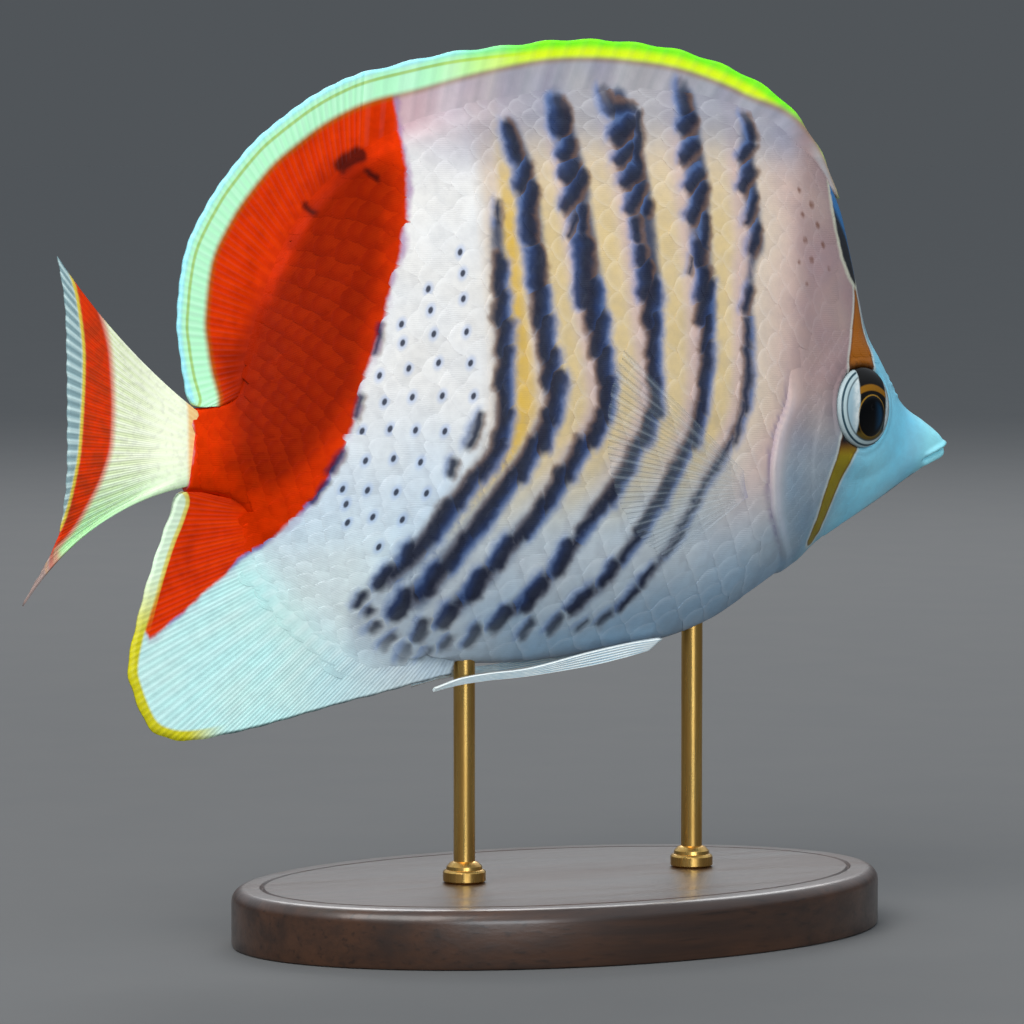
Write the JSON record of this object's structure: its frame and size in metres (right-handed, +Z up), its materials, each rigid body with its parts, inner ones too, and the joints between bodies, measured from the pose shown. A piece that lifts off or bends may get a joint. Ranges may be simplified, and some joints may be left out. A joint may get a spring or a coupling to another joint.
{
  "type": "crown butterflyfish model",
  "caption": "Life-size still model of a crown butterflyfish with spread fins, held level by two thin rods on an oval display base.",
  "frame": {"origin": "centre of the stand base's underside, on the fish's middle plane", "axes": "+X towards the snout, +Z up from the surface the stand rests on, +Y towards the fish's left side"},
  "size_m": [0.1241, 0.056, 0.1084],
  "materials": {
    "skin": "satin scaled skin, pale with dark stripes in life",
    "red_skin": "satin scaled skin, red",
    "fin": "thin rayed fin membrane",
    "eye": "wet, polished",
    "wood": "dark stained, satin",
    "brass": "brushed"
  },
  "bodies": {
    "root": {"head": "skin", "torso": "skin", "tail_stem": "red_skin", "caudal_fin": "fin", "dorsal_fin_spiny": "fin", "dorsal_fin_soft": "fin", "anal_fin": "fin", "pelvic_fin_right": "fin", "pelvic_fin_left": "fin", "pectoral_fin_right": "fin", "pectoral_fin_left": "fin", "eye_right": "eye", "eye_left": "eye", "stand_base": "wood", "stand_rod_front": "brass", "stand_rod_rear": "brass"}
  },
  "joints": []
}
